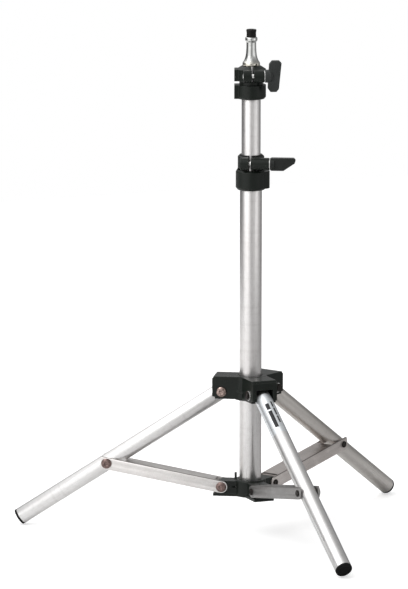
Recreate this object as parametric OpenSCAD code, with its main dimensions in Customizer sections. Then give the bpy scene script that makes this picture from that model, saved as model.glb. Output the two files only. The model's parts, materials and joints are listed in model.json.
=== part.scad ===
// Compact three-section lighting stand: three folding tube legs on a sliding
// spider, channel braces to a fixed lower spider, two telescopic risers locked
// by split clamp collars, and a 16 mm spigot with a push-on cap.
// Origin on the floor on the column axis, +Z up, legs at -90, 30 and 150 degrees.

/* [Column] */
// Outer diameter of the base tube
base_od = 29; // [28.6:0.1:29.4]
// Outer diameter of the middle riser tube
mid_od = 25; // [24.8:0.1:25.4]
// Outer diameter of the top riser tube
top_od = 20; // [19.6:0.1:20.2]
// Wall thickness of the riser tubes
tube_wall = 1.3; // [1.1:0.1:1.5]
// Height of the base tube's lower end above the floor
base_z0 = 52; // [51:0.5:54]
// Height of the base tube's upper end
base_z1 = 484; // [480:1:486]
// Height of the middle riser's lower end
mid_z0 = 137; // [134:1:140]
// Height of the middle riser's upper end
mid_z1 = 597; // [594:0.5:597.5]
// Height of the top riser's lower end
top_z0 = 172; // [168:1:200]

/* [Legs] */
// Leg tube outer diameter
leg_od = 22; // [21:0.1:22]
// Leg tube wall thickness
leg_wall = 1.2; // [1:0.1:1.5]
// Distance from the leg pivot to the foot's end face
leg_len = 327.6; // [321:0.5:333]
// Leg angle from vertical when spread
leg_tilt = 56.66; // [56.2:0.02:57]
// Distance from the leg pivot to the brace pin
brace_pin_dist = 184.4; // [182:0.1:186]
// Radius of the leg pivots from the column axis
leg_pivot_r = 36.3; // [36:0.1:36.8]
// Radius of the lower brace pivots from the column axis
low_pivot_r = 37; // [36.6:0.1:37.4]
// Height of the lower brace pivots
low_pivot_z = 60.5; // [60:0.1:61]

/* [Braces] */
// Gap between the two walls of a brace channel
brace_in = 24; // [23.6:0.1:24.4]
// Brace sheet thickness
brace_t = 2; // [1.6:0.1:2.2]
// Height of a brace wall
brace_h = 16; // [15:0.5:16.5]
// How far the web is cut back from the leg pin
web_cut_leg = 44; // [43:0.5:60]
// How far the web is cut back from the lower pin
web_cut_low = 10; // [9:0.5:16]

/* [Spider] */
// Height of a leg spider lug
spider_h = 30; // [29:0.5:31]
// Half width of a spider lug
lug_w = 17.5; // [17:0.1:18]
// Pivot bolt diameter
bolt_d = 6; // [5.8:0.1:6.2]

/* [Collars] */
// Direction of the top collar's ears
ear_top = -108; // [-112:1:-104]
// Direction of the base collar's ears
ear_base = -117; // [-121:1:-113]
// Distance from the column axis to the clamp screws
screw_r = 20.5; // [20:0.1:21]
// Height of the top collar's clamp screw
top_screw_z = 610; // [609:0.5:611]
// Height of the base collar's clamp screw
base_screw_z = 494.5; // [494:0.5:495]

/* [Spigot] */
// Diameter of the spigot's seating ring
spigot_d = 16; // [15.8:0.1:16]
// Diameter of the spigot's neck
neck_d = 12.7; // [12:0.1:13]

/* [Hidden] */
$fn = 64;
az_front = -90;
az_right = 30;
az_left = 150;
run = 0.05; // running clearance on a radius, and gap between faces
fix = 0.02; // fixed-fit gap on a radius
base_id = base_od - 2 * 1.3;
mid_id = mid_od - 2 * tube_wall;
top_id = top_od - 2 * tube_wall;
leg_r = leg_od / 2;
leg_bore_r = leg_r - leg_wall;
leg_pivot_z = leg_len * cos(leg_tilt) + leg_r * sin(leg_tilt); // foot's edge on the floor
brace_reach = leg_pivot_r + brace_pin_dist * sin(leg_tilt) - low_pivot_r;
brace_rise = leg_pivot_z - brace_pin_dist * cos(leg_tilt) - low_pivot_z;
brace_len = norm([brace_reach, brace_rise]);
brace_up = atan2(brace_rise, brace_reach); // brace angle above horizontal
brace_out = brace_in + 2 * brace_t;
bolt_r = bolt_d / 2;
head_r = 6.9; // domed bolt and rivet heads
formed_r = 4.5; // formed rivet ends
nut_af = 10; // across flats
pin_r = 1.5; // cross pins through the column
alu = "silver";
casting = [0.13, 0.14, 0.13];

// ---------- helpers ----------
module x_rod(x0, x1, r) { translate([x0, 0, 0]) rotate([0, 90, 0]) cylinder(h = x1 - x0, r = r); }
module y_rod(y0, y1, r) { translate([0, y1, 0]) rotate([90, 0, 0]) cylinder(h = y1 - y0, r = r); }
module z_rod(z0, z1, r) { translate([0, 0, z0]) cylinder(h = z1 - z0, r = r); }
// hexagonal rod running towards -Y from y1
module hex_rod(y1, h, gap = 0) {
  translate([0, y1, 0]) rotate([90, 0, 0])
    cylinder(h = h, r = nut_af / 2 / cos(30) + gap, $fn = 6);
}
module tube(z0, z1, od, id) {
  difference() {
    z_rod(z0, z1, od / 2);
    z_rod(z0 - 1, z1 + 1, id / 2);
  }
}
// coaxial drums and cones, one per row: [z, height, bottom radius, top radius]
module stack(rows) {
  for (row = rows) translate([0, 0, row[0]]) cylinder(h = row[1], r1 = row[2], r2 = row[3]);
}
// a block from one corner to the other
module block(low, high) { translate(low) cube(high - low); }
// hole along X through the whole column
module cross_hole(z, r) { translate([0, 0, z]) x_rod(-30, 30, r); }
// domed head on +Y; its sphere tops out at face + crown
module domed_head(face, start, end, crown, dome_r) {
  intersection() {
    y_rod(face + start, face + end, head_r);
    translate([0, face + crown - dome_r, 0]) sphere(r = dome_r, $fn = 96);
  }
}
// turns a child drawn with x outward to an azimuth
module around(az) { rotate([0, 0, az]) children(); }
// pivot frames: origin on the pivot, x outward, y along the pin
module leg_pivot(az) { around(az) translate([leg_pivot_r, 0, leg_pivot_z]) children(); }
module low_pivot(az) { around(az) translate([low_pivot_r, 0, low_pivot_z]) children(); }
module leg_pivots() { for (az = [az_front, az_right, az_left]) leg_pivot(az) children(); }
module low_pivots() { for (az = [az_front, az_right, az_left]) low_pivot(az) children(); }

// ---------- column foot ----------
roll_pin_z = 60.5;
low_hub_r = 21;
low_hub_bottom = -12.3; // from the brace pivot height
low_lug_r = 8;
low_lug_w = brace_in / 2 - 0.2; // half width, between the brace walls

module base_tube() { color(alu) difference() {
  tube(base_z0, base_z1, base_od, base_id);
  cross_hole(roll_pin_z, pin_r + run);
} }
module base_plug() { color("black") difference() {
  union() {
    z_rod(base_z0 - 3, base_z0, base_od / 2 - 0.3);
    z_rod(base_z0 - 0.1, base_z0 + 15.9, base_id / 2 - fix);
  }
  z_rod(base_z0 + 1.5, base_z0 + 21.5, base_id / 2 - 2.5);
  cross_hole(roll_pin_z, pin_r + 0.1);
} }
// drawn in the lower pivot frame
module lower_lug() {
  root = 12 - low_pivot_r; // buried in the hub
  floor_top = -low_lug_r - 0.3;
  difference() {
    union() {
      // solid lug between the brace walls, rounded about the pin
      block([root, -low_lug_w, -low_lug_r], [0, low_lug_w, low_lug_r]);
      y_rod(-low_lug_w, low_lug_w, low_lug_r);
      // floor plate under the brace end, and its join to the lug
      block([root, -14, low_hub_bottom], [11, 14, floor_top]);
      block([root, -low_lug_w, -low_lug_r - 1], [0, low_lug_w, -low_lug_r + 1]);
    }
    y_rod(-20, 20, bolt_r + fix);
  }
}
module lower_spider() { color(casting) difference() {
  union() {
    stack([
      [low_pivot_z + low_hub_bottom, 20.8, low_hub_r, low_hub_r],
      [low_pivot_z + 8.4, 1.6, low_hub_r, low_hub_r - 1.6]]);
    low_pivots() lower_lug();
    // upright peg beside the tube
    around(165) translate([19.4, 0, low_pivot_z + 7]) cylinder(h = 11.8, r = 1.6);
  }
  // tube socket, and a smaller bore that leaves a ledge under the tube
  z_rod(base_z0 - run, base_z0 + 40, base_od / 2 + fix);
  z_rod(base_z0 - 12, base_z0 + 8, base_od / 2 - 0.25);
  cross_hole(roll_pin_z, pin_r + fix);
} }
module spider_roll_pin() {
  half_len = 20.5;
  color("silver") translate([0, 0, roll_pin_z]) difference() {
    x_rod(-half_len, half_len, pin_r);
    x_rod(-half_len - 1, half_len + 1, 0.8);
  }
}
module brace_pivot_rivets() {
  face = brace_out / 2;
  color([0.35, 0.3, 0.28]) low_pivots() {
    y_rod(-face - 0.6, face + 0.6, bolt_r);
    domed_head(face, 0.4, 2.8, 2.8, 12);
    y_rod(-face - 1.8, -face - 0.4, formed_r);
  }
}

// ---------- clamp screws ----------
// Screw frame: origin on the screw, x outward, screw along Y with the knob on +Y.
ear_h = 15.4;
nut_end = 12.5; // screw line to the ears' -Y face
ear_block_end = 13; // farthest +Y face of the ear block; the boss may go on
nut_pocket = 5.2;
washer_t = 1.2;
base_boss_end = 25.5; // +Y end of each collar's boss
top_boss_end = 15;
base_knob_bore = 22; // depth of each knob's blind bore
top_knob_bore = 16;
function knob_y(boss_end) = boss_end + run + washer_t + run;

module base_screw() { around(ear_base) translate([screw_r, 0, base_screw_z]) children(); }
module top_screw() { around(ear_top) translate([screw_r, 0, top_screw_z]) children(); }
module ears(boss_r, boss_end) {
  block([-screw_r, -nut_end, -ear_h / 2], [0, min(boss_end, ear_block_end), ear_h / 2]);
  y_rod(-nut_end, boss_end, boss_r);
}
module screw_holes() {
  y_rod(-60, 60, bolt_r + 0.1);
  // hexagon pocket that keeps the nut from turning
  hex_rod(nut_pocket - nut_end, 20, 0.03);
}
// radial slot through a ring on its ear side
module ear_slot(ear_dir, z0, half_w) {
  around(ear_dir) block([5, -half_w, z0], [40, half_w, z0 + 40]);
}
module clamp_nut() {
  nut_h = 5;
  y1 = nut_pocket - run - nut_end;
  difference() {
    hex_rod(y1, nut_h);
    y_rod(y1 - nut_h - 1, y1 + 1, bolt_r + run);
  }
}
module knob_washer(boss_end) {
  y0 = boss_end + run;
  difference() {
    y_rod(y0, y0 + washer_t, 7.6);
    y_rod(y0 - 1, y0 + washer_t + 1, bolt_r + 0.15);
  }
}
module knob_stud(boss_end, bore) { y_rod(-12, knob_y(boss_end) + bore - 0.1, bolt_r); }
// plate across the screw; outline columns: [distance below the screw, along +Y]
module knob_plate(thickness, outline) {
  translate([-thickness / 2, 0, 0]) rotate([0, 90, 0])
    linear_extrude(height = thickness) polygon(outline);
}

// ---------- base collar ----------
base_liner_r = mid_od / 2 + 1.5;

module base_collar() {
  ring_r = 20;
  clamp_r = 17.4;
  // side lug
  lug_r = 10;
  lug_x = 14.6;
  lug_z0 = 459.5;
  lug_z1 = 482.5;
  color(casting) difference() {
    union() {
      // lower ring on the base tube, then upper clamp ring
      stack([
        [457.6, 2.9, 17.8, ring_r],
        [460.5, 21, ring_r, ring_r],
        [481.4, 4.5, ring_r, clamp_r],
        [485.5, 16.2, clamp_r, clamp_r],
        [501.6, 1.2, clamp_r, clamp_r - 1]]);
      // round-nosed side lug on the lower ring
      around(-24) {
        intersection() {
          block([8, -lug_r, lug_z0], [lug_x + lug_r, lug_r, lug_z1]);
          translate([lug_x, 0, 450]) cylinder(h = 40, r = lug_r);
        }
        block([8, -lug_r, lug_z0], [17, lug_r, lug_z1]);
      }
      base_screw() ears(8.2, base_boss_end);
    }
    z_rod(450, base_z1 + fix, base_od / 2 + fix);
    z_rod(470, 510, base_liner_r + fix);
    ear_slot(ear_base, 485, 1.4);
    // relief slot under the clamp ring
    around(ear_base) block([2, -18, 484], [40, 18, 486.2]);
    base_screw() screw_holes();
  }
}
module base_liner() { color([0.1, 0.1, 0.1]) difference() {
  union() {
    tube(base_z1 + 0.1, 503.4, 2 * base_liner_r, mid_od + 2 * run);
    tube(502.9, 504.2, 2 * base_liner_r + 2.4, mid_od + 2 * run);
  }
  ear_slot(ear_base, 480, 1.3);
} }
module base_clamp_nut() { color("silver") base_screw() clamp_nut(); }
module base_knob_washer() { color("silver") base_screw() knob_washer(base_boss_end); }
module base_lever_knob() {
  color([0.14, 0.15, 0.14]) base_screw() translate([0, knob_y(base_boss_end), 0]) difference() {
    union() {
      y_rod(0, 6, 8.2);
      // tapered lever standing out along the screw
      knob_plate(11.2, [[8.2, 1], [8.2, 17.5], [-1.8, 32.2], [-5.6, 33], [-8.2, 30.5], [-8.2, 1]]);
    }
    y_rod(-1, base_knob_bore, bolt_r + fix);
  }
}
module base_knob_stud() {
  color("silver") base_screw() knob_stud(base_boss_end, base_knob_bore);
}

// ---------- top collar ----------
top_liner_r = 12;

module top_collar() {
  ring_r = 19.4;
  // side lugs
  lug_w = 10.5;
  lug_x = 22.2;
  color(casting) difference() {
    union() {
      // lower ring on the middle riser, neck, upper clamp ring, shoulder cone
      stack([
        [578, 2.5, 17.4, ring_r],
        [580.5, 16, ring_r, ring_r],
        [596, 7, 15.6, 15.6],
        [601.8, 15.2, ring_r, ring_r],
        [617, 4.2, ring_r, 12.8]]);
      // side lugs with a flat outer face
      around(157) {
        block([10, -lug_w, 578.6], [lug_x, lug_w, 596.5]);
        block([10, -lug_w, 601.8], [lug_x, lug_w, 617.4]);
      }
      top_screw() ears(8.5, top_boss_end);
    }
    z_rod(570, mid_z1 + run, mid_od / 2 + fix);
    z_rod(mid_z1, 618.3, top_liner_r + fix);
    z_rod(610, 640, top_od / 2 + 0.25);
    ear_slot(ear_top, 601.7, 1.4);
    top_screw() screw_holes();
  }
}
module top_liner() { color([0.1, 0.1, 0.1]) difference() {
  tube(mid_z1 + 0.1, 618.2, 2 * top_liner_r, top_od + 2 * run);
  ear_slot(ear_top, 590, 1.3);
} }
module top_clamp_nut() { color("silver") top_screw() clamp_nut(); }
module top_knob_washer() { color("silver") top_screw() knob_washer(top_boss_end); }
module top_wing_knob() {
  color([0.2, 0.21, 0.21]) top_screw() translate([0, knob_y(top_boss_end), 0]) difference() {
    union() {
      y_rod(0, 7.4, 8.5);
      y_rod(7.4, 9.2, 7.6);
      // wing plate across the hub
      knob_plate(8.4, [[-20.5, 9.2], [-20.5, 18.4], [-17.5, 21.4], [16.5, 18],
        [20.5, 14.8], [20.5, 7], [16, 3.6], [-16, 5.4]]);
    }
    y_rod(-1, top_knob_bore, bolt_r + fix);
  }
}
module top_knob_stud() { color("silver") top_screw() knob_stud(top_boss_end, top_knob_bore); }

// ---------- risers and spigot ----------
top_z1 = 625;
spigot_pin_z = 607;
nose_r = 4.7; // spigot end inside the cap

// collar below a riser's lower end z0, and a sleeve plugged up into it
module guide_bush(z0, outer_id, riser_id, sleeve_len) {
  bore = riser_id - 4;
  tube(z0 - 6, z0 - run, outer_id - 2 * run, bore);
  tube(z0 - 0.1, z0 + sleeve_len, riser_id - 2 * fix, bore);
}
module mid_tube() { color(alu) tube(mid_z0, mid_z1, mid_od, mid_id); }
module mid_guide_bush() { color("black") guide_bush(mid_z0, base_id, mid_id, 24); }
module top_tube() { color(alu) difference() {
  tube(top_z0, top_z1, top_od, top_id);
  cross_hole(spigot_pin_z, pin_r + fix);
} }
module top_guide_bush() { color("black") guide_bush(top_z0, mid_id, top_id, 20); }
module spigot() {
  skirt_r = top_od / 2 + 0.08;
  neck_r = neck_d / 2;
  ring_r = spigot_d / 2;
  // [radius, z]
  profile = [
    [0, 625.1], [skirt_r, 625.1], [skirt_r, 621.3], [11.2, 621.3], [11.5, 622], [11.5, 624.6],
    [11, 626], [10, 627.6], [9, 629.2], [8.2, 631.4], [7.5, 634], [7.0, 637], [6.65, 641],
    [neck_r, 646], [neck_r, 653.4], [ring_r - 0.7, 653.9], [ring_r, 654.6],
    [ring_r, 658.4], [ring_r - 0.7, 659.1], [nose_r, 659.1], [nose_r, 666.4],
    [nose_r - 0.5, 667], [0, 667]];
  color([0.85, 0.86, 0.87]) difference() {
    union() {
      rotate_extrude($fn = 96) polygon(profile);
      z_rod(592, top_z1 + 1, top_id / 2 - fix);
    }
    cross_hole(spigot_pin_z, pin_r + fix);
  }
}
module spigot_pin() { color("silver") translate([0, 0, spigot_pin_z]) x_rod(-9.9, 9.9, pin_r); }
module spigot_cap() {
  // [radius, z]
  profile = [
    [0, 659.2], [6.3, 659.2], [6.2, 664], [6.5, 666.4], [6.7, 667.2],
    [6.6, 668.6], [6, 669.3], [2.6, 669.3], [2, 668.7], [0, 668.6]];
  color([0.08, 0.08, 0.08]) difference() {
    rotate_extrude($fn = 96) polygon(profile);
    z_rod(659, 667.2, nose_r + run);
  }
}

// ---------- leg spider ----------
lug_bottom = -9.5; // from the leg pivot height
lug_top = lug_bottom + spider_h;
hub_z0 = leg_pivot_z - 11;
hub_z1 = leg_pivot_z + 21;
bush_r = base_od / 2 + 1.58;
pocket_w = 11.5; // half width of a leg pocket

// drawn in the leg pivot frame, like the lug
module leg_pocket(x1) { block([-17, -pocket_w, -20], [x1, pocket_w, 17]); }
module spider_lug() {
  difference() {
    intersection() {
      block([10 - leg_pivot_r, -lug_w, lug_bottom], [12.6, lug_w, lug_top]);
      // stepped outer corners
      union() {
        block([-leg_pivot_r, -30, lug_bottom + 3], [10.5, 30, 30]);
        block([-leg_pivot_r, -30, -20], [9, 30, 30]);
        block([-leg_pivot_r, -30, lug_bottom + 3], [20, 30, lug_top - 2.5]);
      }
    }
    // pocket open below; the end wall's lower edge slopes with the leg
    leg_pocket(10.4);
    translate([0, pocket_w, 0]) rotate([90, 0, 0]) linear_extrude(height = 2 * pocket_w)
      polygon([[0, -20], [20, -20], [20, 2.6], [10.4, 9.4], [0, 9.4]]);
    y_rod(-30, 30, bolt_r + fix);
  }
}
module leg_spider() { color(casting) difference() {
  union() {
    z_rod(hub_z0, hub_z1, 22);
    leg_pivots() spider_lug();
    // small pad in the corner between two lugs
    around(212) block([17, -5.5, leg_pivot_z - 0.8], [23.8, 5.5, leg_pivot_z + 1.8]);
  }
  z_rod(leg_pivot_z - 20, leg_pivot_z + 40, bush_r + fix);
  // the leg heads swing into the hub wall
  leg_pivots() leg_pocket(0);
} }
module spider_bush() {
  color([0.1, 0.1, 0.1]) tube(hub_z0, hub_z1, 2 * bush_r, base_od + 2 * run);
}
module leg_pivot_bolts() { color([0.5, 0.44, 0.42]) leg_pivots() {
  y_rod(-lug_w - 4.4, lug_w + 1, bolt_r);
  domed_head(lug_w, run, 3.1, 3.2, 15.2);
} }
// flanged nuts on the -Y side of each lug
module leg_pivot_nuts() { color("silver") leg_pivots() difference() {
  union() {
    y_rod(-lug_w - 1.25, -lug_w - run, 6.5);
    hex_rod(-lug_w - 1.2, 3);
  }
  y_rod(-40, 0, bolt_r + fix);
} }

// ---------- legs ----------
foot_t = 3.2;

// children drawn along -Z from the pivot, placed at the spread angle
module leg_place(az) { leg_pivot(az) rotate([0, -leg_tilt, 0]) children(); }
module leg_tube(az) { color(alu) leg_place(az) difference() {
  tube(-leg_len + foot_t, 12, leg_od, 2 * leg_bore_r);
  y_rod(-20, 20, bolt_r + run);
} }
module leg_insert(az) { color([0.12, 0.12, 0.12]) leg_place(az) difference() {
  z_rod(-14, 11.6, leg_bore_r - fix);
  y_rod(-20, 20, bolt_r + run);
} }
// end disc and a cup plugged into the tube
module leg_foot(az) { color("black") leg_place(az) translate([0, 0, -leg_len]) {
  z_rod(0, foot_t - run, leg_r);
  difference() {
    z_rod(foot_t - 0.1, 23.1, leg_bore_r - fix);
    z_rod(foot_t + 0.9, 34.1, leg_bore_r - 2.2);
  }
} }
module leg_front_tube() { leg_tube(az_front); }
module leg_right_tube() { leg_tube(az_right); }
module leg_left_tube() { leg_tube(az_left); }
module leg_front_insert() { leg_insert(az_front); }
module leg_right_insert() { leg_insert(az_right); }
module leg_left_insert() { leg_insert(az_left); }
module leg_front_foot() { leg_foot(az_front); }
module leg_right_foot() { leg_foot(az_right); }
module leg_left_foot() { leg_foot(az_left); }

// ---------- braces ----------
// drawn along +X from the lower pin, placed at the spread angle
module brace_place(az) { low_pivot(az) rotate([0, -brace_up, 0]) children(); }
module at_leg_pin() { translate([brace_len, 0, 0]) children(); }
module brace(az) { color([0.72, 0.71, 0.7]) brace_place(az) difference() {
  union() {
    for (y0 = [-brace_out / 2, brace_in / 2]) {
      block([0, y0, -brace_h / 2], [brace_len, y0 + brace_t, brace_h / 2]);
      y_rod(y0, y0 + brace_t, brace_h / 2);
      at_leg_pin() y_rod(y0, y0 + brace_t, brace_h / 2);
    }
    // web along the top
    block([web_cut_low, -brace_out / 2, brace_h / 2 - brace_t],
      [brace_len - web_cut_leg, brace_out / 2, brace_h / 2]);
  }
  y_rod(-30, 30, bolt_r + run);
  at_leg_pin() y_rod(-30, 30, bolt_r);
} }
// half rivets that stay in the brace walls
module brace_rivets(az) {
  face = brace_out / 2;
  color([0.3, 0.27, 0.25]) brace_place(az) at_leg_pin() {
    y_rod(brace_in / 2, face + 0.5, bolt_r - fix);
    domed_head(face, run, 2.6, 2.8, 15.2);
    y_rod(-face - 0.5, -brace_in / 2, bolt_r - fix);
    y_rod(-face - 1.6, -face - run, formed_r);
  }
}
module brace_front() { brace(az_front); }
module brace_right() { brace(az_right); }
module brace_left() { brace(az_left); }
module brace_front_rivets() { brace_rivets(az_front); }
module brace_right_rivets() { brace_rivets(az_right); }
module brace_left_rivets() { brace_rivets(az_left); }

base_tube();
base_plug();
lower_spider();
spider_roll_pin();
brace_pivot_rivets();
base_collar();
base_liner();
base_clamp_nut();
base_knob_washer();
base_lever_knob();
base_knob_stud();
mid_tube();
mid_guide_bush();
top_collar();
top_liner();
top_clamp_nut();
top_knob_washer();
top_wing_knob();
top_knob_stud();
top_tube();
top_guide_bush();
spigot();
spigot_pin();
spigot_cap();
leg_spider();
spider_bush();
leg_pivot_bolts();
leg_pivot_nuts();
leg_front_tube();
leg_front_insert();
leg_front_foot();
leg_right_tube();
leg_right_insert();
leg_right_foot();
leg_left_tube();
leg_left_insert();
leg_left_foot();
brace_front();
brace_front_rivets();
brace_right();
brace_right_rivets();
brace_left();
brace_left_rivets();
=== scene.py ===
"""A telescopic tripod stand: column, clamping collars, three braced legs and a plated spigot.

The column stands on the world Z axis with the feet at the floor. The front leg points to -Y,
the right one to +X and +Y, the left one to -X and +Y. Lengths are millimetres unless a comment
says otherwise, and MM turns them into metres.
"""
import json
import math
from collections import namedtuple
from contextlib import contextmanager

import bmesh
import bpy
import numpy as np
from mathutils import Matrix, Vector

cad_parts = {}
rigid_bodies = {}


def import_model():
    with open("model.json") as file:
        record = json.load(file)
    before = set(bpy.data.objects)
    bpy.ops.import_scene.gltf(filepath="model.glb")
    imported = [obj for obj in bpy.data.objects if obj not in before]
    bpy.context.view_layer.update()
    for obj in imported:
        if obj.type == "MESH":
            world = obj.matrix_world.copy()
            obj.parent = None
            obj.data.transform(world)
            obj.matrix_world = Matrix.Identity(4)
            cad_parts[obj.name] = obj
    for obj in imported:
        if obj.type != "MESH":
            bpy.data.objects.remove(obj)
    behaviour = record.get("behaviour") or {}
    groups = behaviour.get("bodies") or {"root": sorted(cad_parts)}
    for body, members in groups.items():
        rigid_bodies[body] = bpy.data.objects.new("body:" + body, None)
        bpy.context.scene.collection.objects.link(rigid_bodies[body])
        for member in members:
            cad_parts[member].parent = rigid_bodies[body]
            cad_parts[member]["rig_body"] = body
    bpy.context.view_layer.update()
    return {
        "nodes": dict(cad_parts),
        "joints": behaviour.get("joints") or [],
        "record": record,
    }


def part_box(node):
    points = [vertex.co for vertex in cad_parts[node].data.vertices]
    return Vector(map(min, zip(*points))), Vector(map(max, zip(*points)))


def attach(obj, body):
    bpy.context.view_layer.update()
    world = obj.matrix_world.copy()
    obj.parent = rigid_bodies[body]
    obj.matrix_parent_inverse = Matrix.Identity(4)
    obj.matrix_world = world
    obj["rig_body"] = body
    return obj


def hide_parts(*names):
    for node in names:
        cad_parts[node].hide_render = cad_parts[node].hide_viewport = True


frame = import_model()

NODES = frame["nodes"]
BODY = {name: node["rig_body"] for name, node in NODES.items()}
JOINT = {joint["name"]: joint for joint in frame["joints"]}
SLOT = {part["node"]: part["material_slot"] for part in frame["record"]["subparts"]}
MM = 0.001
UP = Vector((0, 0, 1))

# Direction each leg points, degrees from +X
AZIMUTH = {"front": -90.0, "right": 30.0, "left": 150.0}

COLUMN_WALL = 1.3
LEG_RADIUS = 11.0
LEG_WALL = 1.2
LEG_HALF_WIDTH = 17.5      # half the width gripped by a leg's pivot bolt
BRACE_HALF_WIDTH = 14.0    # outside of the channel
BRACE_WALL = 2.0
BRACE_INNER = BRACE_HALF_WIDTH - BRACE_WALL
BRACE_HALF_HEIGHT = 8.0


# ------------------------------------------------------------------ shader nodes
class Nodes:
    """Fills a node tree. The pattern methods add a node and return its output socket."""
    turn = None    # rotation given to the texture space before it is scaled

    def __init__(self, tree):
        self.tree = tree
        tree.nodes.clear()

    def add(self, kind, **settings):
        node = self.tree.nodes.new("ShaderNode" + kind)
        for name, value in settings.items():
            setattr(node, name, value)
        return node

    def feed(self, socket, value):
        """Links an output to the socket, or sets the socket's own value."""
        if isinstance(value, bpy.types.NodeSocket):
            self.tree.links.new(value, socket)
        else:
            socket.default_value = value

    def noise(self, scale, detail, rough, warp=0.0):
        """Noise in object space; scale is one number or one for each axis."""
        space = self.add("TexCoord").outputs["Object"]
        if self.turn is not None:
            turned = self.add("Mapping")
            self.feed(turned.inputs["Rotation"], self.turn)
            self.feed(turned.inputs["Vector"], space)
            space = turned.outputs[0]
        scaled = self.add("Mapping")
        self.feed(scaled.inputs["Scale"], scale if isinstance(scale, tuple) else (scale,) * 3)
        self.feed(scaled.inputs["Vector"], space)
        node = self.add("TexNoise")
        self.feed(node.inputs["Scale"], 1.0)
        self.feed(node.inputs["Detail"], detail)
        self.feed(node.inputs["Roughness"], rough)
        self.feed(node.inputs["Distortion"], warp)
        self.feed(node.inputs["Vector"], scaled.outputs[0])
        return node.outputs["Fac"]

    def remap(self, value, span, to=(0.0, 1.0)):
        node = self.add("MapRange")
        for socket, number in zip(node.inputs[1:5], (*span, *to)):
            self.feed(socket, number)
        self.feed(node.inputs[0], value)
        return node.outputs[0]

    def mix(self, factor, under, over):
        node = self.add("Mix", data_type="RGBA", blend_type="MIX")
        self.feed(node.inputs[0], factor)
        for socket, colour in ((node.inputs[6], under), (node.inputs[7], over)):
            self.feed(socket, (*colour, 1) if isinstance(colour, tuple) else colour)
        return node.outputs[2]

    def tint(self, under, pattern, span, over, amount=1.0):
        """Lays a colour over another, from none to amount as the pattern crosses span."""
        return self.mix(self.remap(pattern, span, (0.0, amount)), under, over)

    def math(self, operation, first, second):
        node = self.add("Math", operation=operation)
        self.feed(node.inputs[0], first)
        self.feed(node.inputs[1], second)
        return node.outputs[0]

    def grey_ramp(self, factor, stops):
        """A colour ramp from (position, brightness) stops."""
        node = self.add("ValToRGB")
        elements = node.color_ramp.elements
        while len(elements) < len(stops):
            elements.new(0.5)
        for element, (position, grey) in zip(elements, stops):
            element.position = position
            element.color = (grey, grey, grey, 1)
        self.feed(node.inputs[0], factor)
        return node.outputs[0]


class Material(Nodes):
    """A material with one Principled surface."""
    def __init__(self, name, turn=None):
        self.material = bpy.data.materials.new(name)
        self.material.use_nodes = True
        super().__init__(self.material.node_tree)
        self.turn = turn
        self.output = self.add("OutputMaterial")
        self.surface = self.add("BsdfPrincipled")
        self.feed(self.output.inputs[0], self.surface.outputs[0])

    def finish(self, colour, roughness, height, strength, distance, metallic=0.0, specular=0.5):
        """Feeds the surface; height drives a bump whose distance is in metres."""
        inputs = self.surface.inputs
        self.feed(inputs["Base Color"], colour)
        self.feed(inputs["Roughness"], roughness)
        self.feed(inputs["Metallic"], metallic)
        self.feed(inputs["Specular IOR Level"], specular)
        bump = self.add("Bump")
        self.feed(bump.inputs["Strength"], strength)
        self.feed(bump.inputs["Distance"], distance)
        self.feed(bump.inputs["Height"], height)
        self.feed(inputs["Normal"], bump.outputs[0])
        return self.material


# ------------------------------------------------------------------ materials
def drawn_aluminium(name, base, warm, rough=(0.27, 0.40), rub=0.0, turn=None):
    """Satin tube: die lines along its axis, warm clouding; rub brightens rings round it.

    turn brings the axis of a leaning tube onto Z.
    """
    s = Material(name, turn)
    lines = s.noise((900, 900, 6), detail=3, rough=0.6)
    fine = s.noise((2600, 2600, 30), detail=2, rough=0.5)
    cloud = s.noise((22, 22, 9), detail=4, rough=0.6, warp=0.6)
    rings = s.noise((14, 14, 900), detail=3, rough=0.7)
    speck = s.noise(1500, detail=1, rough=0.5)
    wear = s.noise((9, 9, 130), detail=2, rough=0.5, warp=0.3)
    mottle = s.noise((190, 190, 150), detail=3, rough=0.65)
    colour = s.tint(base, cloud, span=(0.35, 0.68), over=warm)
    for pattern, span, amount, over in (
            (lines, (0.35, 0.75), 0.30, (0.60, 0.59, 0.585)),
            (speck, (0.66, 0.78), 0.25, (0.50, 0.48, 0.47)),
            (wear, (0.60, 0.68), 0.10, (0.42, 0.39, 0.37)),
            (mottle, (0.46, 0.66), 0.15, (0.50, 0.465, 0.45))):
        colour = s.tint(colour, pattern, span, over, amount)
    if rub:
        colour = s.tint(colour, rings, span=(0.55, 0.75), over=(0.90, 0.89, 0.89), amount=rub)
    return s.finish(
        colour,
        roughness=s.math("ADD", s.remap(lines, span=(0.3, 0.75), to=rough),
                         s.remap(cloud, span=(0.3, 0.7), to=(-0.03, 0.05))),
        height=s.math("ADD", fine, s.math("MULTIPLY", rings, 0.6 + rub)),
        strength=0.10, distance=0.00006, metallic=1.0)


def folded_sheet(name, base, cloudy, grainy, scratched):
    """Dull aluminium strip with grain and scratches, darkened by painted shade that a point
    attribute holds for the bends and the upper face.
    """
    s = Material(name)
    grain = s.noise(1100, detail=3, rough=0.6)
    cloud = s.noise((35, 35, 60), detail=5, rough=0.65, warp=0.4)
    scratch = s.noise((160, 160, 900), detail=4, rough=0.7, warp=1.2)
    colour = s.tint(base, cloud, span=(0.35, 0.68), over=cloudy)
    colour = s.tint(colour, grain, span=(0.50, 0.75), over=grainy, amount=0.45)
    colour = s.tint(colour, scratch, span=(0.62, 0.72), over=scratched, amount=0.35)
    fold_shade = s.add("Attribute", attribute_name="fold_shade").outputs["Fac"]
    # painted shade: darkens the bends and the upper face of the channel
    colour = s.mix(s.math("MULTIPLY", fold_shade, 0.85), colour, (0.10, 0.09, 0.085))
    return s.finish(
        colour,
        roughness=s.remap(grain, span=(0.3, 0.7), to=(0.34, 0.52)),
        height=s.math("ADD", grain, s.math("MULTIPLY", scratch, 0.4)),
        strength=0.18, distance=0.00008, metallic=1.0)


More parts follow.
